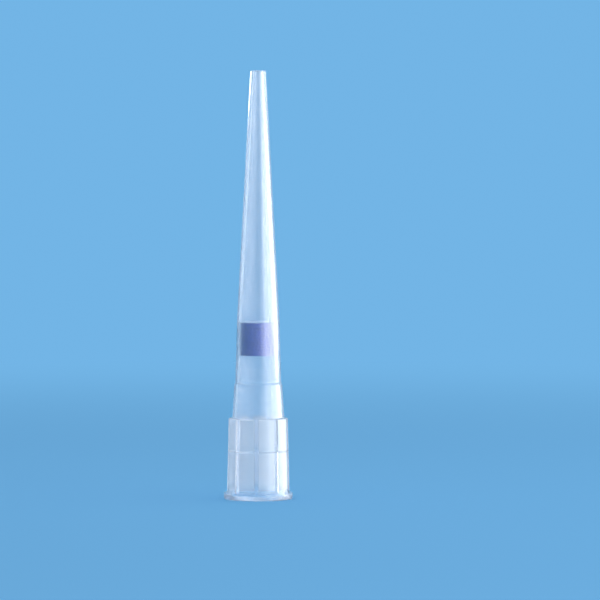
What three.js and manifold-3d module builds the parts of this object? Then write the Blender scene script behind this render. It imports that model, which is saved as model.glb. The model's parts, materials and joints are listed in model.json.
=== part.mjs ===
// A filter pipette tip of the 200 microlitre class. It has two pieces: a moulded polypropylene
// body, open at both ends, and a sintered polyethylene filter plug pressed into its bore.
// Units are millimetres and +Z is up. The tip stands on its rim with the orifice at the top,
// and the origin is the centre of the rim's flat face.
//
// From the rim up, the body has a flange, a grooved collar that takes the pipette's nozzle,
// a narrower neck that the nozzle seals in, the chamber that holds the filter, and the long
// cone that ends in the orifice.
import * as THREE from "three";
import { mergeVertices } from "three/addons/utils/BufferGeometryUtils.js";
import Module from "manifold-3d";

// ---- Driving dimensions ----

// Lengths along the axis.
const TOTAL_LENGTH = 52.5; // rim face to orifice face
const RIM_THICKNESS = 0.8; // the flange at the mouth
const SKIRT_LENGTH = 5.8; // rim face to the step inside the collar
const SOCKET_LENGTH = 4.1; // that step to the collar's top face
const NECK_LENGTH = 4.2; // the collar's top face to the filter chamber
const CHAMBER_LENGTH = 7.6; // the chamber, up to the ledge that stops the filter
const FILTER_LENGTH = 4.05;

// The bore. It starts at the mouth, and each zone takes its size from the one before it.
const MOUTH_BORE = 6.6; // diameter at the rim face, without the chamfer
const COLLAR_DRAFT = 0.023; // radius lost for each millimetre of skirt and socket
const SKIRT_STEP = 0.12; // radius lost at the end of the skirt
const SOCKET_STEP = 0.1; // radius lost at the end of the socket
const NECK_TAPER = 0.06; // radius lost for each millimetre of neck
const NECK_STEP = 0.14; // radius lost at the end of the neck
const CHAMBER_TAPER = 0.027; // radius lost for each millimetre of chamber
const FILTER_LEDGE = 0.075; // radius lost at the ledge
const ORIFICE_BORE = 1.0; // diameter

// Walls.
const SKIRT_WALL = 0.55;
const NECK_WALL = 0.34;
const CHAMBER_WALL = 0.36;
const ORIFICE_WALL = 0.45;

// Collar grooves and flange.
const GROOVE_COUNT = 9;
const GROOVE_WIDTH = 0.55;
const GROOVE_DEPTH = 0.22;
const RIM_OVERHANG = 0.38; // how far the flange stands out past the collar

// Edges.
const MOUTH_CHAMFER = 0.25; // on the radius
const MOUTH_CHAMFER_LENGTH = 0.5;
const RIM_FILLET = 0.18;
const COLLAR_FILLET = 0.12;
const STEP_FILLET = 0.15;
const ORIFICE_FILLET = 0.1;
const FILTER_FILLET = 0.08;
const FILTER_GAP = 0.02; // clearance between the plug and the bore or ledge

// Facets.
const SEGMENTS = 72; // round the axis, for the body and the plug alike
const FILLET_DIVISIONS = 2;
const FILLET_SHARE = 0.4; // the most of an edge that one fillet takes, so that two never meet

// ---- Sizes that follow ----

// Heights of the zones' ends.
const COLLAR_TOP = SKIRT_LENGTH + SOCKET_LENGTH;
const CHAMBER_START = COLLAR_TOP + NECK_LENGTH;
const LEDGE = CHAMBER_START + CHAMBER_LENGTH;

// Bore radii at the zones' ends.
const mouthRadius = MOUTH_BORE / 2;
const skirtEndRadius = mouthRadius - COLLAR_DRAFT * SKIRT_LENGTH;
const socketStartRadius = skirtEndRadius - SKIRT_STEP;
const socketEndRadius = socketStartRadius - COLLAR_DRAFT * SOCKET_LENGTH;
const neckStartRadius = socketEndRadius - SOCKET_STEP;
const neckEndRadius = neckStartRadius - NECK_TAPER * NECK_LENGTH;
const chamberStartRadius = neckEndRadius - NECK_STEP;
const chamberEndRadius = chamberStartRadius - CHAMBER_TAPER * CHAMBER_LENGTH;
const coneStartRadius = chamberEndRadius - FILTER_LEDGE;
const orificeRadius = ORIFICE_BORE / 2;

// The collar's outer radius at a height, which follows the skirt's draft all the way up.
function collarRadius(height) {
  return mouthRadius + SKIRT_WALL - COLLAR_DRAFT * height;
}

// ---- Shape helpers ----

const wasm = await Module();
wasm.setup();

// An outline through corners [radius, height, fillet], each rounded by its own fillet if it has one.
function outline(corners) {
  const points = corners.map(([radius, height]) => new THREE.Vector2(radius, height));
  const path = new THREE.Path();
  path.moveTo(points[0].x, points[0].y);
  for (let i = 1; i < points.length - 1; i++) {
    const fillet = corners[i][2] ?? 0;
    const corner = points[i];
    if (fillet === 0) {
      path.lineTo(corner.x, corner.y);
      continue;
    }
    const before = points[i - 1].clone().sub(corner);
    const after = points[i + 1].clone().sub(corner);
    const shorter = Math.min(before.length(), after.length());
    const reach = Math.min(fillet, FILLET_SHARE * shorter);
    const start = corner.clone().add(before.setLength(reach));
    const end = corner.clone().add(after.setLength(reach));
    path.lineTo(start.x, start.y);
    path.quadraticCurveTo(corner.x, corner.y, end.x, end.y);
  }
  const last = points[points.length - 1];
  path.lineTo(last.x, last.y);
  return path.getPoints(FILLET_DIVISIONS);
}

// A body turned about +Z from an outline that starts and ends on the axis.
function turned(corners) {
  return new THREE.LatheGeometry(outline(corners), SEGMENTS).rotateX(Math.PI / 2);
}

// A closed geometry as a manifold-3d solid.
function solid(geometry) {
  const bare = geometry.clone();
  bare.deleteAttribute("normal");
  bare.deleteAttribute("uv");
  const merged = mergeVertices(bare, 1e-5);
  const corners = merged.index.array;
  const triangles = [];
  for (let i = 0; i < corners.length; i += 3) {
    const [a, b, c] = corners.slice(i, i + 3);
    // A lathe leaves triangles without an area at its poles.
    if (a !== b && b !== c && c !== a) triangles.push(a, b, c);
  }
  return new wasm.Manifold(
    new wasm.Mesh({
      numProp: 3,
      vertProperties: merged.attributes.position.array,
      triVerts: new Uint32Array(triangles),
    }),
  );
}

// A manifold-3d solid as a geometry.
function geometryOf(manifold) {
  const mesh = manifold.getMesh();
  const geometry = new THREE.BufferGeometry();
  geometry.setAttribute("position", new THREE.BufferAttribute(mesh.vertProperties, 3));
  geometry.setIndex(new THREE.BufferAttribute(mesh.triVerts, 1));
  geometry.computeVertexNormals();
  return geometry;
}

// ---- Polypropylene body ----

// The outside without its grooves, filled to the axis.
function bodyOutside() {
  const rimRadius = collarRadius(RIM_THICKNESS) + RIM_OVERHANG;
  const stepHeight = CHAMBER_START + NECK_STEP;
  return solid(
    turned([
      [0, 0],
      [rimRadius, 0, RIM_FILLET],
      [rimRadius, RIM_THICKNESS, RIM_FILLET],
      [collarRadius(RIM_THICKNESS), RIM_THICKNESS],
      [collarRadius(COLLAR_TOP), COLLAR_TOP, COLLAR_FILLET],
      [neckStartRadius + NECK_WALL, COLLAR_TOP],
      [neckEndRadius + NECK_WALL, CHAMBER_START, STEP_FILLET],
      [chamberStartRadius + CHAMBER_WALL, stepHeight, STEP_FILLET],
      [chamberEndRadius + CHAMBER_WALL, LEDGE],
      [orificeRadius + ORIFICE_WALL, TOTAL_LENGTH, ORIFICE_FILLET],
      [0, TOTAL_LENGTH],
    ]),
  );
}

// One groove as a plate to cut away. It runs from the flange out through the collar's top face,
// with its floor parallel to the collar's side. The first groove faces -Y.
function groove(index) {
  const past = 0.5;
  const floor = (height) => collarRadius(height) - GROOVE_DEPTH;
  const side = new THREE.Shape();
  side.moveTo(floor(RIM_THICKNESS), RIM_THICKNESS);
  side.lineTo(collarRadius(RIM_THICKNESS) + past, RIM_THICKNESS);
  side.lineTo(collarRadius(RIM_THICKNESS) + past, COLLAR_TOP + past);
  side.lineTo(floor(COLLAR_TOP + past), COLLAR_TOP + past);
  side.closePath();
  const plate = new THREE.ExtrudeGeometry(side, { depth: GROOVE_WIDTH, bevelEnabled: false });
  plate.translate(0, 0, -GROOVE_WIDTH / 2);
  plate.rotateX(Math.PI / 2);
  plate.rotateZ((index * 2 * Math.PI) / GROOVE_COUNT - Math.PI / 2);
  return solid(plate);
}

// The bore as a solid to cut away. It runs past both faces of the body. Its step into the neck
// ends level with the collar's top face, so that the neck has its full wall from its root.
function bore() {
  const past = 1;
  const chamferEndRadius = mouthRadius - COLLAR_DRAFT * MOUTH_CHAMFER_LENGTH;
  const flareRadius = orificeRadius + ORIFICE_FILLET;
  return solid(
    turned([
      [0, -past],
      [mouthRadius + MOUTH_CHAMFER, -past],
      [mouthRadius + MOUTH_CHAMFER, 0],
      [chamferEndRadius, MOUTH_CHAMFER_LENGTH, STEP_FILLET],
      [skirtEndRadius, SKIRT_LENGTH, STEP_FILLET],
      [socketStartRadius, SKIRT_LENGTH + SKIRT_STEP, STEP_FILLET],
      [socketEndRadius, COLLAR_TOP - SOCKET_STEP, STEP_FILLET],
      [neckStartRadius, COLLAR_TOP, STEP_FILLET],
      [neckEndRadius, CHAMBER_START, STEP_FILLET],
      [chamberStartRadius, CHAMBER_START + NECK_STEP, STEP_FILLET],
      [chamberEndRadius, LEDGE],
      [coneStartRadius, LEDGE],
      [orificeRadius, TOTAL_LENGTH - ORIFICE_FILLET],
      [flareRadius, TOTAL_LENGTH],
      [flareRadius, TOTAL_LENGTH + past],
      [0, TOTAL_LENGTH + past],
    ]),
  );
}

function tipBody() {
  let body = bodyOutside();
  for (let i = 0; i < GROOVE_COUNT; i++) body = body.subtract(groove(i));
  const material = new THREE.MeshStandardMaterial({
    color: 0xdbe4ef,
    roughness: 0.18,
    metalness: 0,
    transparent: true,
    opacity: 0.45,
  });
  const mesh = new THREE.Mesh(geometryOf(body.subtract(bore())), material);
  mesh.name = "tip_body";
  return mesh;
}

// ---- Sintered filter plug ----

// The plug follows the chamber's taper, and its front face stops just short of the ledge.
function filterPlug() {
  const front = LEDGE - FILTER_GAP;
  const back = front - FILTER_LENGTH;
  const radiusAt = (height) => chamberEndRadius + CHAMBER_TAPER * (LEDGE - height) - FILTER_GAP;
  const geometry = turned([
    [0, 0],
    [radiusAt(back), 0, FILTER_FILLET],
    [radiusAt(front), FILTER_LENGTH, FILTER_FILLET],
    [0, FILTER_LENGTH],
  ]);
  const material = new THREE.MeshStandardMaterial({
    color: 0x33469b,
    roughness: 0.85,
    metalness: 0,
  });
  const mesh = new THREE.Mesh(geometry, material);
  mesh.name = "filter_plug";
  mesh.position.z = back;
  return mesh;
}

// ---- The tip ----

const tip = new THREE.Group();
tip.add(tipBody(), filterPlug());

export default tip;
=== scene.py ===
# %% [markdown]
# # A filter pipette tip
# The real object is a tapered tube of clear polypropylene, moulded in one shot, with a blue
# filter plug pressed into its bore. It stands on its rim here, orifice up.
#
# The construction model already fixes every size. This script makes the surfaces that the eye
# needs: round walls, soft edges, a slightly milky plastic and a grainy plug. Nothing is moved.

# %% Load the frame
import json
import math

import bpy
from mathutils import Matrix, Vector

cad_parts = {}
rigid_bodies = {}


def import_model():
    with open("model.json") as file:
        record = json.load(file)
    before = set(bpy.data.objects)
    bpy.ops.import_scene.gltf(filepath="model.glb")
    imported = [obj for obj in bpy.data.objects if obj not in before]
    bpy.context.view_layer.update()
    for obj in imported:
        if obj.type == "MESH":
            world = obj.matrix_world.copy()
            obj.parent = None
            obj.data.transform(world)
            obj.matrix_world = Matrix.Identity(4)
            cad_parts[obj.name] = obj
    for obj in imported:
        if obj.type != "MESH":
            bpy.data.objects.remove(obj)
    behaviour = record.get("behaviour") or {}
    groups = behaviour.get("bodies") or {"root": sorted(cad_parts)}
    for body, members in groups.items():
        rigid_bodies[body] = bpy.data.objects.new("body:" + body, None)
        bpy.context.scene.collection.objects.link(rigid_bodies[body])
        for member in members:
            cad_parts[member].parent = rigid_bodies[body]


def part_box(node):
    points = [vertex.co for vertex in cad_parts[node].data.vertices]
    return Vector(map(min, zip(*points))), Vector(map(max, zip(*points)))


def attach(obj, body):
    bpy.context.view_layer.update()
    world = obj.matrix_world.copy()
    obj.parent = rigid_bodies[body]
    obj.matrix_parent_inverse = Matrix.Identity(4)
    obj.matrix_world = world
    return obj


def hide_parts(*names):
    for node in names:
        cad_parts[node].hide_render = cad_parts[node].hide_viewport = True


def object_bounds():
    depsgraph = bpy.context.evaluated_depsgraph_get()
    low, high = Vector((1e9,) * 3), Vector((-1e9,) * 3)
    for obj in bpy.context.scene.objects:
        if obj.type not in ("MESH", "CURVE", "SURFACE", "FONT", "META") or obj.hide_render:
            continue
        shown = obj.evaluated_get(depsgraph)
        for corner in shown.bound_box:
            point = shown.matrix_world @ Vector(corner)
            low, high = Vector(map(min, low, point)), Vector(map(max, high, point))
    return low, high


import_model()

MM = 0.001  # the scene is in metres, and the sizes below are easier to read in millimetres

cad_low, cad_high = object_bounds()
tip_height = cad_high.z - cad_low.z
print("construction box in mm:", [round(side / MM, 2) for side in cad_high - cad_low])

# %% [markdown]
# ## The camera
# A tip is about as long as a thumb, so it is shot from well back with a long lens. That keeps
# its sides as straight as they are on the real one. A short lens up close would make the collar
# bulge and the orifice shrink. The camera looks very slightly down, and it aims a little to the
# right of the axis, so that the tip stands left of the middle with air on its right. It also
# stands a few degrees to the right of the front, so that one groove runs down the collar just
# left of the middle.

# %% Make the camera
VIEW_HEIGHT = 73.5 * MM  # how much height the picture covers at the tip
AIM = Vector((5.11, 0.29, 24.4)) * MM
CAMERA_DISTANCE = 0.6
CAMERA_ELEVATION = math.radians(2.5)
CAMERA_AZIMUTH = math.radians(3.3)  # from the front towards the right
NEAREST_SEEN = 0.01

camera_data = bpy.data.cameras.new("camera")
camera_data.lens = camera_data.sensor_width * CAMERA_DISTANCE / VIEW_HEIGHT
camera_data.clip_start = NEAREST_SEEN
camera = bpy.data.objects.new("camera", camera_data)
toward_camera = Vector((
    math.cos(CAMERA_ELEVATION) * math.sin(CAMERA_AZIMUTH),
    -math.cos(CAMERA_ELEVATION) * math.cos(CAMERA_AZIMUTH),
    math.sin(CAMERA_ELEVATION),
))
camera.location = AIM + toward_camera * CAMERA_DISTANCE
camera.rotation_euler = (-toward_camera).to_track_quat("-Z", "Y").to_euler()
bpy.context.scene.collection.objects.link(camera)
bpy.context.scene.camera = camera
print("lens in mm:", round(camera_data.lens))

# %% [markdown]
# ## The studio
# Clear plastic shows its surroundings more than itself, so the room is part of the look. The
# floor and the world beyond it have one pale blue. Close to the tip the floor is lit like any
# surface and keeps the tip's shadow. Further out it is shown at a fixed brightness, as the world
# is, so no horizon and no lamp's fall-off can be seen through the plastic. Only a reflection
# sees the floor as polished: a real table shines at a low angle, and that is how the foot of a
# tube sees it.
#
# A blue room also sends bluish light back. A weak ambient light stands for it, and keeps the
# shaded side of the tube from going grey. Rays that draw the background never meet that light:
# Light Path tells the world what kind of ray is asking.

# %% Helpers for materials and node trees


def new_material(name):
    """An empty node material, with its output."""
    material = bpy.data.materials.new(name)
    material.use_nodes = True
    material.node_tree.nodes.clear()
    return material, material.node_tree.nodes.new("ShaderNodeOutputMaterial")


def add_node(tree, kind, inputs=None, **settings):
    """A node of that kind. Settings are its own properties. An input is a value or a socket."""
    node = tree.nodes.new(kind)
    for name, value in settings.items():
        setattr(node, name, value)
    for name, value in (inputs or {}).items():
        socket = node.inputs[name]
        if isinstance(value, bpy.types.NodeSocket):
            tree.links.new(value, socket)
        else:
            socket.default_value = value
    return node


def math_node(tree, operation, *values, **settings):
    """The result socket of one sum on values or sockets."""
    inputs = dict(enumerate(values))
    return add_node(tree, "ShaderNodeMath", inputs, operation=operation, **settings).outputs[0]


# %% The plain blue of floor and world
PALE_BLUE = (0.17, 0.46, 0.79, 1)
AMBIENT_BLUE = (0.75, 0.90, 1.0, 1)
AMBIENT_STRENGTH = 0.25


def ray_is(tree, *kinds):
    """1 for a ray of one of these kinds, and 0 for any other."""
    rays = add_node(tree, "ShaderNodeLightPath").outputs
    total = rays[f"Is {kinds[0]} Ray"]
    for kind in kinds[1:]:
        total = math_node(tree, "ADD", total, rays[f"Is {kind} Ray"], use_clamp=True)
    return total


world = bpy.data.worlds.new("world")
world.use_nodes = True
world_tree = world.node_tree
ambient = world_tree.nodes["Background"]
ambient.inputs["Color"].default_value = AMBIENT_BLUE
ambient.inputs["Strength"].default_value = AMBIENT_STRENGTH
plain = add_node(world_tree, "ShaderNodeBackground", {"Color": PALE_BLUE, "Strength": 1.0})
blend = add_node(world_tree, "ShaderNodeMixShader", {
    0: ray_is(world_tree, "Camera", "Glossy", "Transmission"),
    1: ambient.outputs[0],
    2: plain.outputs[0],
})
world_tree.links.new(blend.outputs[0], world_tree.nodes["World Output"].inputs["Surface"])
bpy.context.scene.world = world
bpy.context.scene.view_settings.view_transform = "Standard"
print("ambient strength:", AMBIENT_STRENGTH)

# %% Make the floor
FLOOR_RADIUS = 4.0
FLOOR_SIDES = 64
LIT_RADIUS = 0.08  # the floor is lit as usual up to here
PLAIN_RADIUS = 0.3  # and plain from here on
FLOOR_ROUGHNESS = 0.15
FLOOR_INDEX = 1.5


def floor_material():
    material, output = new_material("pale floor")
    tree = material.node_tree
    place = add_node(tree, "ShaderNodeTexCoord").outputs["Object"]
    away = add_node(tree, "ShaderNodeVectorMath", {0: place}, operation="LENGTH").outputs["Value"]
    far = add_node(tree, "ShaderNodeMapRange", {
        "Value": away, "From Min": LIT_RADIUS, "From Max": PLAIN_RADIUS,
    }, interpolation_type="SMOOTHSTEP").outputs[0]
    matte = add_node(tree, "ShaderNodeBsdfDiffuse", {"Color": PALE_BLUE})
    glow = add_node(tree, "ShaderNodeEmission", {"Color": PALE_BLUE, "Strength": 1.0})
    seen = add_node(tree, "ShaderNodeMixShader", {
        0: math_node(tree, "MULTIPLY", far, ray_is(tree, "Camera", "Transmission")),
        1: matte.outputs[0],
        2: glow.outputs[0],
    })
    polish = add_node(tree, "ShaderNodeBsdfPrincipled", {
        "Base Color": PALE_BLUE, "Roughness": FLOOR_ROUGHNESS, "IOR": FLOOR_INDEX,
    })
    mixed = add_node(tree, "ShaderNodeMixShader", {
        0: ray_is(tree, "Glossy"),
        1: seen.outputs[0],
        2: polish.outputs[0],
    })
    tree.links.new(mixed.outputs[0], output.inputs["Surface"])
    return material


def floor_mesh():
    turns = [2 * math.pi * side / FLOOR_SIDES for side in range(FLOOR_SIDES)]
    mesh = bpy.data.meshes.new("studio_floor")
    edge = [(FLOOR_RADIUS * math.cos(turn), FLOOR_RADIUS * math.sin(turn), 0) for turn in turns]
    mesh.from_pydata(edge, [], [list(range(FLOOR_SIDES))])
    return mesh


floor = bpy.data.objects.new("studio_floor", floor_mesh())
floor.data.materials.append(floor_material())
bpy.context.scene.collection.objects.link(floor)
print("floor radius in metres:", FLOOR_RADIUS)

# %% [markdown]
# ## The lights
# A polished tube works like a row of narrow mirrors, each turned a little further than the one
# before it. To draw a broad white band down the tube, a light must reach far round one side. It
# can be a low one, because every mirror stands almost upright. So the key is a long, low bank of
# light on the right, and a dim one on the left draws a thin line on that side.
#
# The walls lean by a few degrees, and each part leans differently. The cone therefore mirrors
# what stands well above the floor, the chamber and the neck mirror what stands lower, and the
# upright collar mirrors what stands at its own height. That is why the other lights on the right
# come at different heights: each of them widens the white band on one part more than on the
# others. All of them are ellipses, whose narrow ends let a band fade out. A large soft panel
# overhead lights the floor.

# %% Make the lights
TIP_MIDDLE = Vector((0, 0, tip_height / 2))


def soft_light(name, place, width, height, brightness):
    """An elliptical light that faces the middle of the tip. Brightness is that of its face."""
    data = bpy.data.lights.new(name, "AREA")
    data.shape = "ELLIPSE"
    data.size = width
    data.size_y = height
    face = math.pi / 4 * width * height
    data.energy = brightness * math.pi * face
    light = bpy.data.objects.new(name, data)
    light.location = place
    light.rotation_euler = (TIP_MIDDLE - light.location).to_track_quat("-Z", "Y").to_euler()
    light.visible_camera = False
    bpy.context.scene.collection.objects.link(light)


LIGHT_DISTANCE = 0.4


def around(azimuth, height):
    """A place at the lights' distance. Azimuth is counted from the camera towards the right."""
    turn = math.radians(azimuth) + CAMERA_AZIMUTH
    return Vector((LIGHT_DISTANCE * math.sin(turn), -LIGHT_DISTANCE * math.cos(turn), height))


soft_light("key_bank", around(92, 0.050), 0.50, 0.09, 7.0)
soft_light("front_bank", around(50, 0.080), 0.32, 0.08, 5.8)  # for the cone
soft_light("low_bank", around(40, 0.031), 0.46, 0.06, 2.4)  # for the neck and the chamber
soft_light("collar_strip", around(54, 0.004), 0.40, 0.008, 6.0)  # for the collar
soft_light("back_bank", around(120, 0.018), 0.17, 0.036, 7.0)  # for the edge of the neck
soft_light("left_bank", around(-122, 0.048), 0.16, 0.09, 1.5)
soft_light("overhead", Vector((0.0, 0.0, 0.7)), 0.7, 0.7, 2.7)
print("lights:", len(bpy.data.lights))

# %% [markdown]
# ## The outline of the moulded body
# Every face of the body except its grooves comes from one outline turned about the axis: up the
# outside, over the orifice, and back down the bore. The sizes repeat the construction model's,
# and the filter chamber, the seat of the nozzle and the steps between them follow each other.
#
# A mould has no sharp corner, and a soft edge catches a thin line of light, so each corner is
# rounded. Extra points beside each rounding keep the long walls flat when they are shaded.

# %% Sizes of the body
RIM_THICKNESS = 0.8 * MM
SKIRT_LENGTH = 5.8 * MM
SOCKET_LENGTH = 4.1 * MM
NECK_LENGTH = 4.2 * MM
CHAMBER_LENGTH = 7.6 * MM

MOUTH_BORE = 6.6 * MM
COLLAR_DRAFT = 0.023  # radius lost for each unit of height
SKIRT_STEP = 0.12 * MM
SOCKET_STEP = 0.1 * MM
NECK_TAPER = 0.06
NECK_STEP = 0.14 * MM
CHAMBER_TAPER = 0.027
FILTER_LEDGE = 0.075 * MM
ORIFICE_BORE = 1.0 * MM

SKIRT_WALL = 0.55 * MM
NECK_WALL = 0.34 * MM
CHAMBER_WALL = 0.36 * MM
ORIFICE_WALL = 0.45 * MM
MOUTH_CHAMFER = 0.25 * MM
MOUTH_CHAMFER_LENGTH = 0.5 * MM

RIM_FILLET = 0.18 * MM
COLLAR_FILLET = 0.12 * MM
STEP_FILLET = 0.15 * MM
ORIFICE_FILLET = 0.1 * MM
SMALL_FILLET = 0.05 * MM
ROOT_FILLET = 0.17 * MM

collar_top = SKIRT_LENGTH + SOCKET_LENGTH
chamber_start = collar_top + NECK_LENGTH
ledge = chamber_start + CHAMBER_LENGTH

mouth_radius = MOUTH_BORE / 2
skirt_end_radius = mouth_radius - COLLAR_DRAFT * SKIRT_LENGTH
socket_start_radius = skirt_end_radius - SKIRT_STEP
socket_end_radius = socket_start_radius - COLLAR_DRAFT * SOCKET_LENGTH
neck_start_radius = socket_end_radius - SOCKET_STEP
neck_end_radius = neck_start_radius - NECK_TAPER * NECK_LENGTH
chamber_start_radius = neck_end_radius - NECK_STEP
chamber_end_radius = chamber_start_radius - CHAMBER_TAPER * CHAMBER_LENGTH
cone_start_radius = chamber_end_radius - FILTER_LEDGE
orifice_radius = ORIFICE_BORE / 2
rim_radius = cad_high.x


def collar_radius(height):
    return mouth_radius + SKIRT_WALL - COLLAR_DRAFT * height


print("filter ledge at", round(ledge / MM, 2), "mm, bore there", round(2 * chamber_end_radius / MM, 2))

# %% Round the corners of an outline
FILLET_STEPS = 4
FILLET_SHARE = 0.4  # the most of an edge that one rounding takes
LONGEST_STEP = 1.6 * MM  # along the walls
GUARD = 0.06 * MM  # how far from a rounding its guard point lies


def rounded(corners):
    """The closed outline through corners (radius, height, fillet, share), as (x, y, share)."""
    count = len(corners)
    path = []
    for i, (radius, height, fillet, share) in enumerate(corners):
        corner = Vector((radius, height, share))
        before = Vector((*corners[i - 1][:2], corners[i - 1][3])) - corner
        after = Vector((*corners[(i + 1) % count][:2], corners[(i + 1) % count][3])) - corner
        reach_before = min(fillet / before.xy.length, FILLET_SHARE)
        reach_after = min(fillet / after.xy.length, FILLET_SHARE)
        start = corner + before * reach_before
        end = corner + after * reach_after
        for step in range(FILLET_STEPS + 1):
            t = step / FILLET_STEPS
            path.append(start.lerp(corner, t).lerp(corner.lerp(end, t), t))
    return path


def with_walls(path):
    """The same outline with guard points beside the roundings and points along the walls."""
    points = []
    for here, there in zip(path, path[1:] + path[:1]):
        points.append(here)
        length = (there.xy - here.xy).length
        if length < 3 * GUARD:
            continue
        points.append(here.lerp(there, GUARD / length))
        steps = math.ceil(length / LONGEST_STEP)
        points += [here.lerp(there, step / steps) for step in range(1, steps)]
        points.append(there.lerp(here, GUARD / length))
    return points


def body_outline():
    """Up the outside and down the bore. Share is how much of a groove's depth a point takes."""
    chamfer_end = mouth_radius - COLLAR_DRAFT * MOUTH_CHAMFER_LENGTH
    return with_walls(rounded([
        (mouth_radius + MOUTH_CHAMFER, 0, SMALL_FILLET, 0),
        (rim_radius, 0, RIM_FILLET, 0),
        (rim_radius, RIM_THICKNESS, RIM_FILLET, 0),
        (collar_radius(RIM_THICKNESS), RIM_THICKNESS, SMALL_FILLET, 1),
        (collar_radius(collar_top), collar_top, COLLAR_FILLET, 1),
        (neck_start_radius + NECK_WALL, collar_top, ROOT_FILLET, 0),
        (neck_end_radius + NECK_WALL, chamber_start, STEP_FILLET, 0),
        (chamber_start_radius + CHAMBER_WALL, chamber_start + NECK_STEP, STEP_FILLET, 0),
        (chamber_end_radius + CHAMBER_WALL, ledge, STEP_FILLET, 0),
        (orifice_radius + ORIFICE_WALL, tip_height, ORIFICE_FILLET, 0),
        (orifice_radius + ORIFICE_FILLET, tip_height, SMALL_FILLET, 0),
        (orifice_radius, tip_height - ORIFICE_FILLET, SMALL_FILLET, 0),
        (cone_start_radius, ledge, SMALL_FILLET, 0),
        (chamber_end_radius, ledge, SMALL_FILLET, 0),
        (chamber_start_radius, chamber_start + NECK_STEP, STEP_FILLET, 0),
        (neck_end_radius, chamber_start, STEP_FILLET, 0),
        (neck_start_radius, collar_top, STEP_FILLET, 0),
        (socket_end_radius, collar_top - SOCKET_STEP, STEP_FILLET, 0),
        (socket_start_radius, SKIRT_LENGTH + SKIRT_STEP, STEP_FILLET, 0),
        (skirt_end_radius, SKIRT_LENGTH, STEP_FILLET, 0),
        (chamfer_end, MOUTH_CHAMFER_LENGTH, STEP_FILLET, 0),
    ]))


def outline_object(name, points, closed):
    """A flat wire of the outline, which a node tree turns into a solid."""
    edges = [(i, i + 1) for i in range(len(points) - 1)]
    if closed:
        edges.append((len(points) - 1, 0))
    mesh = bpy.data.meshes.new(name)
    mesh.from_pydata([(point.x, -point.y, 0) for point in points], edges, [])
    wire = bpy.data.objects.new(name, mesh)
    bpy.context.scene.collection.objects.link(wire)
    return wire


def keep_numbers(wire, name, numbers):
    """Stores one number for each point of a wire, which its node tree or material can read."""
    attribute = wire.data.attributes.new(name, "FLOAT", "POINT")
    attribute.data.foreach_set("value", numbers)


def wall_at(height, outline):
    """How thick the wall is at a height, measured straight across it."""
    radii = []
    for here, there in zip(outline, outline[1:] + outline[:1]):
        low, high = sorted((here, there), key=lambda point: point.y)
        if low.y <= height <= high.y and high.y > low.y:
            radii.append(low.lerp(high, (height - low.y) / (high.y - low.y)).x)
    return max(radii) - min(radii) if radii else 0.0


outline = body_outline()
RIM_COUNTS_AS = 0.38 * MM  # the rim is clearer than its thickness suggests
CLEAR_LENGTH = 2.2 * MM  # and so is the skirt just above it
INSET = 0.01 * MM  # so that a wall isn't measured level with an end face
walls = [wall_at(min(max(point.y, INSET), tip_height - INSET), outline) for point in outline]
# The milk of a wall is counted once, on its outside, so the bore's points get no wall.
top = max(range(len(outline)), key=lambda i: outline[i].y)
walls[top:] = [0.0] * (len(outline) - top)
for i, point in enumerate(outline[:top]):
    height_share = min(point.y / CLEAR_LENGTH, 1)
    walls[i] = min(walls[i], RIM_COUNTS_AS + (SKIRT_WALL - RIM_COUNTS_AS) * height_share)
body_wire = outline_object("tip_body_outline", outline, closed=True)
keep_numbers(body_wire, "groove_share", [point.z for point in outline])
keep_numbers(body_wire, "wall", walls)
print("points in the body's outline:", len(outline))
outer = walls[:top]
print("wall in mm, thinnest and thickest:", round(min(outer) / MM, 2), round(max(outer) / MM, 2))

# %% [markdown]
# ## Turning the outline, and pressing the grooves
# Geometry Nodes turn the outline into a solid: the wire becomes a curve, a circle becomes the
# rail, and Curve to Mesh sweeps one along the other. A Screw modifier could turn it too, but the
# tree also carries the outline's own attribute on, which the next tree needs.
#
# The collar's grooves repeat evenly, so a second tree presses them all by one rule. It measures
# how far each point lies from the middle of the nearest groove. The few columns of points that
# are nearest become the groove's floor and are pushed in. The rest stay on the land between two
# grooves.
#
# A groove is much narrower than the light it mirrors, so its sides have to be right: a side that
# slants catches the key light and turns a quiet groove into a white line. So before anything is
# pushed, the columns slide along the circle until two of them stand just at the groove's edges.
# The sides then rise straight up, and their edges are marked as crisp.

# %% A tree that turns an outline about the axis


def new_tree(name, sockets):
    """A modifier tree with geometry in and out, and named inputs (name, kind, default)."""
    tree = bpy.data.node_groups.new(name, "GeometryNodeTree")
    tree.is_modifier = True
    face = tree.interface
    face.new_socket("Geometry", in_out="OUTPUT", socket_type="NodeSocketGeometry")
    face.new_socket("Geometry", in_out="INPUT", socket_type="NodeSocketGeometry")
    for label, kind, default in sockets:
        socket = face.new_socket(label, in_out="INPUT", socket_type="NodeSocket" + kind)
        if default is not None:
            socket.default_value = default
    return tree, add_node(tree, "NodeGroupInput"), add_node(tree, "NodeGroupOutput")


def finish_tree(tree, source, geometry, output):
    """Ends a tree with smooth shading, real geometry and the material that its input names."""
    smooth = add_node(tree, "GeometryNodeSetShadeSmooth", {"Geometry": geometry})
    real = add_node(tree, "GeometryNodeRealizeInstances", {"Geometry": smooth.outputs[0]})
    painted = add_node(tree, "GeometryNodeSetMaterial", {
        "Geometry": real.outputs[0],
        "Material": source.outputs["Material"],
    })
    tree.links.new(painted.outputs[0], output.inputs[0])


RAIL_RADIUS = 10 * MM  # of the circle that the outline is swept along


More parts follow.
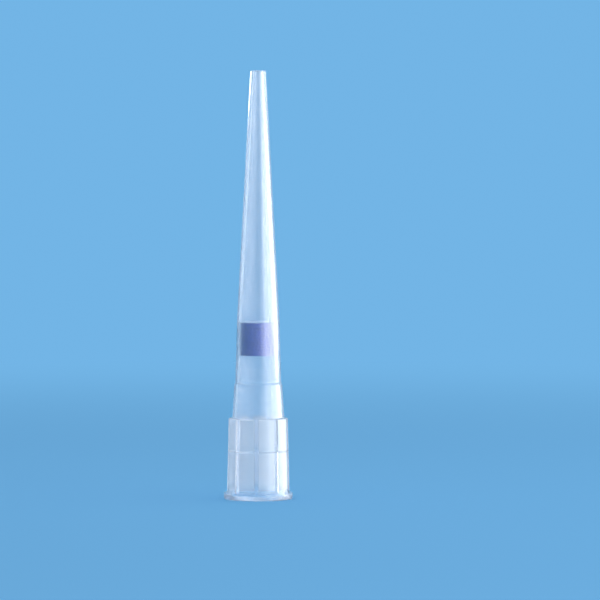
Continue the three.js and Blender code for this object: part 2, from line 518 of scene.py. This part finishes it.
def turning_tree():
    tree, source, output = new_tree("turn about the axis", [
        ("Sides", "Int", 360),
        ("Weld", "Float", 0.001 * MM),
        ("Material", "Material", None),
    ])
    wire = add_node(tree, "GeometryNodeMeshToCurve", {"Mesh": source.outputs["Geometry"]})
    rail = add_node(tree, "GeometryNodeCurvePrimitiveCircle", {
        "Resolution": source.outputs["Sides"],
        "Radius": RAIL_RADIUS,
    })
    # The outline's own radii are measured from the axis, so it is moved in by the rail's radius.
    shifted = add_node(tree, "GeometryNodeTransform", {
        "Geometry": wire.outputs[0],
        "Translation": (-RAIL_RADIUS, 0, 0),
    })
    swept = add_node(tree, "GeometryNodeCurveToMesh", {
        "Curve": rail.outputs["Curve"],
        "Profile Curve": shifted.outputs[0],
    })
    welded = add_node(tree, "GeometryNodeMergeByDistance", {
        "Geometry": swept.outputs[0],
        "Distance": source.outputs["Weld"],
    })
    # The sweep leaves every face pointing into the plastic.
    outward = add_node(tree, "GeometryNodeFlipFaces", {"Mesh": welded.outputs[0]})
    finish_tree(tree, source, outward.outputs[0], output)
    return tree


turn_about_axis = turning_tree()
print("nodes in the turning tree:", len(turn_about_axis.nodes))

# %% A tree that presses the grooves into the collar
GROOVE_COUNT = 9
GROOVE_WIDTH = 0.55 * MM
GROOVE_DEPTH = 0.22 * MM
GROOVE_EDGE = 0.01 * MM  # how much of the surface a groove's side takes
CRISP_ANGLE = math.radians(40)
BODY_SIDES = 450  # columns of faces round the body, 50 to each groove's pitch
FLOOR_COLUMNS = 5  # from a groove's middle to its edge


def named_number(tree, name):
    """The socket of a number that was stored on the mesh."""
    return add_node(
        tree, "GeometryNodeInputNamedAttribute", {"Name": name}, data_type="FLOAT"
    ).outputs["Attribute"]


def grooves_tree():
    tree, source, output = new_tree("press grooves", [
        ("Count", "Int", GROOVE_COUNT),
        ("Width", "Float", GROOVE_WIDTH),
        ("Depth", "Float", GROOVE_DEPTH),
        ("Edge", "Float", GROOVE_EDGE),
        ("Crisp Angle", "Float", CRISP_ANGLE),
        ("Column", "Float", GROOVE_COUNT / BODY_SIDES),
        ("Floor Columns", "Float", FLOOR_COLUMNS),
        ("Material", "Material", None),
    ])
    place = add_node(tree, "GeometryNodeInputPosition").outputs[0]
    parts = add_node(tree, "ShaderNodeSeparateXYZ", {0: place}).outputs
    outward = add_node(tree, "ShaderNodeCombineXYZ", {"X": parts["X"], "Y": parts["Y"]}).outputs[0]
    radius = add_node(tree, "ShaderNodeVectorMath", {0: outward}, operation="LENGTH").outputs["Value"]
    # The angle in groove pitches from the groove that faces the front.
    angle = math_node(tree, "ARCTAN2", parts["X"], math_node(tree, "MULTIPLY", parts["Y"], -1.0))
    pitch = math_node(tree, "DIVIDE", 2 * math.pi, source.outputs["Count"])
    pitches = math_node(tree, "DIVIDE", angle, pitch)
    nearest = math_node(tree, "ROUND", pitches)
    off_middle = math_node(tree, "SUBTRACT", pitches, nearest)
    away = math_node(tree, "ABSOLUTE", off_middle)
    # Columns of points are drawn to the groove's edges: its floor takes the first few of them,
    # spread over its width, and the land between two grooves takes the rest.
    column = source.outputs["Column"]
    last_floor = math_node(tree, "MULTIPLY", source.outputs["Floor Columns"], column)
    half = math_node(tree, "MULTIPLY", source.outputs["Width"], 0.5)
    half_edge = math_node(tree, "MULTIPLY", source.outputs["Edge"], 0.5)
    inside_edge = math_node(tree, "SUBTRACT", half, half_edge)
    outside_edge = math_node(tree, "ADD", half, half_edge)
    around_land = math_node(tree, "MULTIPLY", radius, pitch)
    floor_radius = math_node(tree, "SUBTRACT", radius, source.outputs["Depth"])
    around_floor = math_node(tree, "MULTIPLY", floor_radius, pitch)
    on_floor = add_node(tree, "ShaderNodeMapRange", {
        "Value": away,
        "From Max": last_floor,
        "To Max": math_node(tree, "DIVIDE", inside_edge, around_floor),
    }).outputs[0]
    on_land = add_node(tree, "ShaderNodeMapRange", {
        "Value": away,
        "From Min": math_node(tree, "ADD", last_floor, column),
        "From Max": 0.5,
        "To Min": math_node(tree, "DIVIDE", outside_edge, around_land),
        "To Max": 0.5,
    }).outputs[0]
    between = math_node(tree, "MULTIPLY_ADD", column, 0.5, last_floor)
    is_floor = math_node(tree, "LESS_THAN", away, between)
    drawn = add_node(tree, "ShaderNodeMix", {"Factor": is_floor, "A": on_land, "B": on_floor})
    share = named_number(tree, "groove_share")
    new_away = add_node(tree, "ShaderNodeMix", {
        "Factor": share, "A": away, "B": drawn.outputs["Result"],
    }).outputs["Result"]
    new_off = math_node(tree, "MULTIPLY", new_away, math_node(tree, "SIGN", off_middle))
    new_angle = math_node(tree, "MULTIPLY", math_node(tree, "ADD", nearest, new_off), pitch)
    pressed = math_node(tree, "MULTIPLY", is_floor, source.outputs["Depth"])
    depth = math_node(tree, "MULTIPLY", pressed, share)
    new_radius = math_node(tree, "SUBTRACT", radius, depth)
    front = math_node(tree, "MULTIPLY", new_radius, math_node(tree, "COSINE", new_angle))
    new_place = add_node(tree, "ShaderNodeCombineXYZ", {
        "X": math_node(tree, "MULTIPLY", new_radius, math_node(tree, "SINE", new_angle)),
        "Y": math_node(tree, "MULTIPLY", front, -1.0),
        "Z": parts["Z"],
    }).outputs[0]
    # The wall is thinner in a groove by as much as the groove is deep.
    thinned = add_node(tree, "GeometryNodeStoreNamedAttribute", {
        "Geometry": source.outputs["Geometry"],
        "Name": "wall",
        "Value": math_node(tree, "SUBTRACT", named_number(tree, "wall"), depth),
    }, data_type="FLOAT", domain="POINT")
    moved = add_node(tree, "GeometryNodeSetPosition", {
        "Geometry": thinned.outputs[0],
        "Position": new_place,
    })
    # A groove's side meets its floor in an edge. Shaded smooth, it would look like a round flute.
    edge_angle = add_node(tree, "GeometryNodeInputMeshEdgeAngle").outputs["Unsigned Angle"]
    crisp = add_node(tree, "GeometryNodeSetShadeSmooth", {
        "Geometry": moved.outputs[0],
        "Selection": math_node(tree, "GREATER_THAN", edge_angle, source.outputs["Crisp Angle"]),
        "Shade Smooth": False,
    }, domain="EDGE")
    finish_tree(tree, source, crisp.outputs[0], output)
    return tree


press_grooves = grooves_tree()
print("nodes in the grooves' tree:", len(press_grooves.nodes))

# %% [markdown]
# ## The plastic
# Natural polypropylene isn't tinted. Its walls are clear with a slight milk, because the crystals
# inside scatter a little light, and a thick wall looks milkier than a thin one. So the shader is
# mostly glass of the plastic's own index, and the share that isn't glass is a nearly neutral
# white. That share follows the wall's thickness, which the outline's points carry. It is what
# makes the collar whiter than the neck, and each groove a clear line in it.
#
# A ray meets every wall twice, once on each face, and would be whitened twice. So only the
# outer face carries the milk. On the outline above, the bore's points got no wall at all.
#
# Inside the collar the bore narrows in a small step, where the nozzle's seat begins. The slanted
# face of such a step sends light aside, so a thin dark line shows through the milk there. The
# milk here is only a film on the outer face and has no such line, so that shade is painted: the
# material takes a little of the milk away around the step's height.
#
# The polished mould leaves a gloss that varies a little along fine lines parallel to the axis.
# Those come from a noise that is stretched along Z. A flat roughness would look like real glass.

# %% Material of the body
PLASTIC_INDEX = 1.49
PLASTIC_MILK = (0.985, 0.98, 0.995, 1)
THIN_WALL = 0.41 * MM  # the milk grows from here
THIN_WALL_MILK = 0.08
THICK_WALL = 0.55 * MM  # to here
THICK_WALL_MILK = 0.55
STEP_HEIGHT = SKIRT_LENGTH + SKIRT_STEP  # of the step inside the collar
# Painted shade: a thin dark line around the inner step's height, drawn by less milk there.
STEP_REACH = 0.25 * MM  # how far above and below it the wall looks darker
PAINTED_STEP_SHADE = 0.25
CLOUD_SCALE = 0.35 / MM
CLOUD_SHARE = 0.02  # how much more or less clear a cloud makes the wall
LINE_SCALE = 6.0 / MM
LINE_STRETCH = 0.03  # the noise's scale along the axis, as a share of that across it
LINE_HEIGHT = 0.01 * MM
LINE_STRENGTH = 0.12
SMOOTHEST = 0.12
ROUGHEST = 0.30
SHADOW_BLEND = 0.3
SHADOW_PASSED = 0.92  # of the light that meets the wall squarely
PASSED_LIGHT = (0.96, 0.97, 1.0, 1)


def plastic_material():
    material, output = new_material("natural polypropylene")
    tree = material.node_tree
    place = add_node(tree, "ShaderNodeTexCoord").outputs["Object"]
    wall = add_node(tree, "ShaderNodeAttribute", attribute_name="wall").outputs["Fac"]
    clouds = add_node(tree, "ShaderNodeTexNoise", {
        "Vector": place, "Scale": CLOUD_SCALE, "Detail": 2.0,
    }).outputs[0]
    along = add_node(tree, "ShaderNodeMapping", {"Vector": place, "Scale": (1, 1, LINE_STRETCH)})
    lines = add_node(tree, "ShaderNodeTexNoise", {
        "Vector": along.outputs[0], "Scale": LINE_SCALE, "Detail": 3.0,
    }).outputs[0]
    clear = add_node(tree, "ShaderNodeMapRange", {
        "Value": wall,
        "From Min": THIN_WALL,
        "From Max": THICK_WALL,
        "To Min": 1 - THIN_WALL_MILK,
        "To Max": 1 - THICK_WALL_MILK,
    }, interpolation_type="SMOOTHSTEP").outputs[0]
    cloudy = add_node(tree, "ShaderNodeMapRange", {
        "Value": clouds, "To Min": -CLOUD_SHARE, "To Max": CLOUD_SHARE,
    })
    height = add_node(tree, "ShaderNodeSeparateXYZ", {0: place}).outputs["Z"]
    # Painted shade: the milk is cleared in a soft band around the inner step's height, which draws it
    # darker.
    off_step = math_node(tree, "ABSOLUTE", math_node(tree, "SUBTRACT", height, STEP_HEIGHT))
    painted_shade_line = add_node(tree, "ShaderNodeMapRange", {
        "Value": off_step, "From Max": STEP_REACH, "To Min": PAINTED_STEP_SHADE, "To Max": 0.0,
    }, interpolation_type="SMOOTHSTEP").outputs[0]
    clear = math_node(tree, "ADD", clear, painted_shade_line, use_clamp=True)
    roughness = add_node(tree, "ShaderNodeMapRange", {
        "Value": lines, "To Min": SMOOTHEST, "To Max": ROUGHEST,
    })
    waves = add_node(tree, "ShaderNodeBump", {
        "Height": lines, "Strength": LINE_STRENGTH, "Distance": LINE_HEIGHT,
    })
    plastic = add_node(tree, "ShaderNodeBsdfPrincipled", {
        "Base Color": PLASTIC_MILK,
        "IOR": PLASTIC_INDEX,
        "Roughness": roughness.outputs[0],
        "Transmission Weight": math_node(tree, "ADD", clear, cloudy.outputs[0]),
        "Normal": waves.outputs[0],
    })
    # Lamps can't shine through a refracting surface, so a shadow ray goes straight through it.
    # It is dimmed where it meets the wall at a slant, as the edge of a tube's shadow is.
    slant = add_node(tree, "ShaderNodeLayerWeight", {"Blend": SHADOW_BLEND}).outputs["Facing"]
    straight = math_node(tree, "SUBTRACT", SHADOW_PASSED, slant)
    shadow = add_node(tree, "ShaderNodeLightPath").outputs["Is Shadow Ray"]
    passed = add_node(tree, "ShaderNodeBsdfTransparent", {"Color": PASSED_LIGHT})
    mixed = add_node(tree, "ShaderNodeMixShader", {
        0: math_node(tree, "MULTIPLY", shadow, straight, use_clamp=True),
        1: plastic.outputs[0],
        2: passed.outputs[0],
    })
    tree.links.new(mixed.outputs[0], output.inputs["Surface"])
    return material


natural_polypropylene = plastic_material()
print("nodes in the plastic:", len(natural_polypropylene.node_tree.nodes))

# %% Turn the body


def set_input(modifier, name, value):
    """Sets a modifier's input by the identifier of the socket with that name."""
    for socket in modifier.node_group.interface.items_tree:
        if socket.item_type == "SOCKET" and socket.in_out == "INPUT" and socket.name == name:
            modifier[socket.identifier] = value


def grown(wire, name, steps):
    """A plain mesh object from a wire and its trees, given as (tree, {input: value})."""
    for tree, values in steps:
        modifier = wire.modifiers.new(tree.name, "NODES")
        modifier.node_group = tree
        for label, value in values.items():
            set_input(modifier, label, value)
    graph = bpy.context.evaluated_depsgraph_get()
    mesh = bpy.data.meshes.new_from_object(wire.evaluated_get(graph))
    wire.modifiers.clear()
    bpy.data.objects.remove(wire)
    mesh.name = name
    piece = bpy.data.objects.new(name, mesh)
    bpy.context.scene.collection.objects.link(piece)
    return piece


def signed_volume(mesh):
    """The volume inside a mesh, which is negative if its faces point inwards."""
    mesh.calc_loop_triangles()
    corners = [vertex.co for vertex in mesh.vertices]
    triples = [[corners[i] for i in triangle.vertices] for triangle in mesh.loop_triangles]
    return sum(a.dot(b.cross(c)) for a, b, c in triples) / 6


tip_body = grown(body_wire, "moulded_body", [
    (turn_about_axis, {"Sides": BODY_SIDES, "Material": natural_polypropylene}),
    (press_grooves, {"Material": natural_polypropylene}),
])
print("body:", len(tip_body.data.polygons), "faces,",
      round(signed_volume(tip_body.data) / MM**3, 1), "mm3")
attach(tip_body, "root")
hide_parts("tip_body")

# %% [markdown]
# ## The filter plug
# The plug is polyethylene powder that was heated in a mould until the grains just stuck together.
# Its surface is a crowd of round grains with dark pores between them. Placing thousands of small
# balls would work, but most of each ball would be hidden. Instead a smooth plug is turned with
# small faces, and a tree dents it between the cells of a Voronoi pattern, so that each cell
# becomes the crown of one grain. The dents only go inwards, which keeps the plug clear of the
# bore.

# %% A tree that turns a smooth surface into grains
GRAIN_SIZE = 0.2 * MM
PORE_DEPTH = 0.06 * MM


def grains_tree():
    tree, source, output = new_tree("sintered grains", [
        ("Grain Size", "Float", GRAIN_SIZE),
        ("Pore Depth", "Float", PORE_DEPTH),
        ("Material", "Material", None),
    ])
    cells = add_node(tree, "ShaderNodeTexVoronoi", {
        "Vector": add_node(tree, "GeometryNodeInputPosition").outputs[0],
        "Scale": math_node(tree, "DIVIDE", 1.0, source.outputs["Grain Size"]),
    })
    # The distance to the cell's middle, squared, is about the fall of a ball from its crown.
    fall = math_node(tree, "MINIMUM", math_node(tree, "POWER", cells.outputs["Distance"], 2.0), 1.0)
    kept = add_node(tree, "GeometryNodeStoreNamedAttribute", {
        "Geometry": source.outputs["Geometry"], "Name": "pore", "Value": fall,
    }, data_type="FLOAT", domain="POINT")
    dent = math_node(tree, "MULTIPLY", fall, source.outputs["Pore Depth"])
    offset = add_node(tree, "ShaderNodeVectorMath", {
        0: add_node(tree, "GeometryNodeInputNormal").outputs[0],
        "Scale": math_node(tree, "MULTIPLY", dent, -1.0),
    }, operation="SCALE").outputs[0]
    moved = add_node(tree, "GeometryNodeSetPosition", {
        "Geometry": kept.outputs[0], "Offset": offset,
    })
    finish_tree(tree, source, moved.outputs[0], output)
    return tree


sintered_grains = grains_tree()
print("nodes in the grains' tree:", len(sintered_grains.nodes))

# %% [markdown]
# ## The plug's dye, with painted shade in its pores
# The powder is dyed through before it is heated, so crowns and pores have one hue, and the pores
# only look darker because little light gets out of them. That shade is painted: the shader mixes
# the dye with a darker blue by how deep a point lies, which the grains' tree stored on the mesh.
# A fine noise breaks up the mix, as two grains never take quite the same dye.
#
# Such a powder has two finishes at once. The crowns were pressed against the mould and shine a
# little. The rough flanks between them scatter light to all sides, which leaves a pale haze over
# the dye. The haze is a sheen, as on a fibrous cloth, and the crowns are an ordinary gloss.

# %% Material of the plug
DYED_BLUE = (0.006, 0.090, 0.700, 1)
# Painted shade: the darker blue that the pores are painted with, where little light gets out.
PORE_SHADE_BLUE = (0.004, 0.025, 0.220, 1)
TINT_SCALE = 3.0 / MM
TINT_SHARE = 0.5  # how far the tint counts, next to the depth
TINT_HEIGHT = 0.02 * MM
TINT_STRENGTH = 0.3
CROWN_ROUGHNESS = 0.5
CROWN_GLOSS = 1.0
HAZE_WEIGHT = 1.0
HAZE_ROUGHNESS = 0.6


def plug_material():
    material, output = new_material("sintered polyethylene")
    tree = material.node_tree
    place = add_node(tree, "ShaderNodeTexCoord").outputs["Object"]
    pore = add_node(tree, "ShaderNodeAttribute", attribute_name="pore").outputs["Fac"]
    tint = add_node(tree, "ShaderNodeTexNoise", {
        "Vector": place, "Scale": TINT_SCALE, "Detail": 3.0,
    }).outputs[0]
    # A pore's depth paints shade into it, and the noise adds the grains' own uneven dye.
    depth = math_node(tree, "ADD", pore, math_node(tree, "MULTIPLY", tint, TINT_SHARE))
    colour = add_node(tree, "ShaderNodeMix", {
        "Factor": depth, "A": DYED_BLUE, "B": PORE_SHADE_BLUE,
    }, data_type="RGBA")
    grain = add_node(tree, "ShaderNodeBump", {
        "Height": tint, "Strength": TINT_STRENGTH, "Distance": TINT_HEIGHT,
    })
    plug = add_node(tree, "ShaderNodeBsdfPrincipled", {
        "Base Color": colour.outputs["Result"],
        "Roughness": CROWN_ROUGHNESS,
        "Specular IOR Level": CROWN_GLOSS,
        "Sheen Weight": HAZE_WEIGHT,
        "Sheen Roughness": HAZE_ROUGHNESS,
        "Normal": grain.outputs[0],
    })
    tree.links.new(plug.outputs[0], output.inputs["Surface"])
    return material


sintered_polyethylene = plug_material()
print("nodes in the dye:", len(sintered_polyethylene.node_tree.nodes))

# %% Turn the plug
FILTER_GAP = 0.02 * MM
PLUG_SIDES = 280
PLUG_STEP = 0.055 * MM

plug_low, plug_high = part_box("filter_plug")


def plug_radius(height):
    return chamber_end_radius + CHAMBER_TAPER * (ledge - height) - FILTER_GAP


def plug_outline():
    """From the axis out, up the side and back to the axis, in short steps for the grains."""
    corners = [
        Vector((0, plug_low.z, 0)),
        Vector((plug_radius(plug_low.z), plug_low.z, 0)),
        Vector((plug_radius(plug_high.z), plug_high.z, 0)),
        Vector((0, plug_high.z, 0)),
    ]
    points = []
    for here, there in zip(corners, corners[1:]):
        steps = round((there - here).length / PLUG_STEP)
        points += [here.lerp(there, step / steps) for step in range(steps)]
    return points + [corners[-1]]


filter_plug = grown(outline_object("plug_outline", plug_outline(), closed=False), "sintered_plug", [
    (turn_about_axis, {"Sides": PLUG_SIDES, "Material": sintered_polyethylene}),
    (sintered_grains, {"Material": sintered_polyethylene}),
])
print("plug:", len(filter_plug.data.polygons), "faces,",
      round(signed_volume(filter_plug.data) / MM**3, 1), "mm3")
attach(filter_plug, "root")
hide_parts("filter_plug")
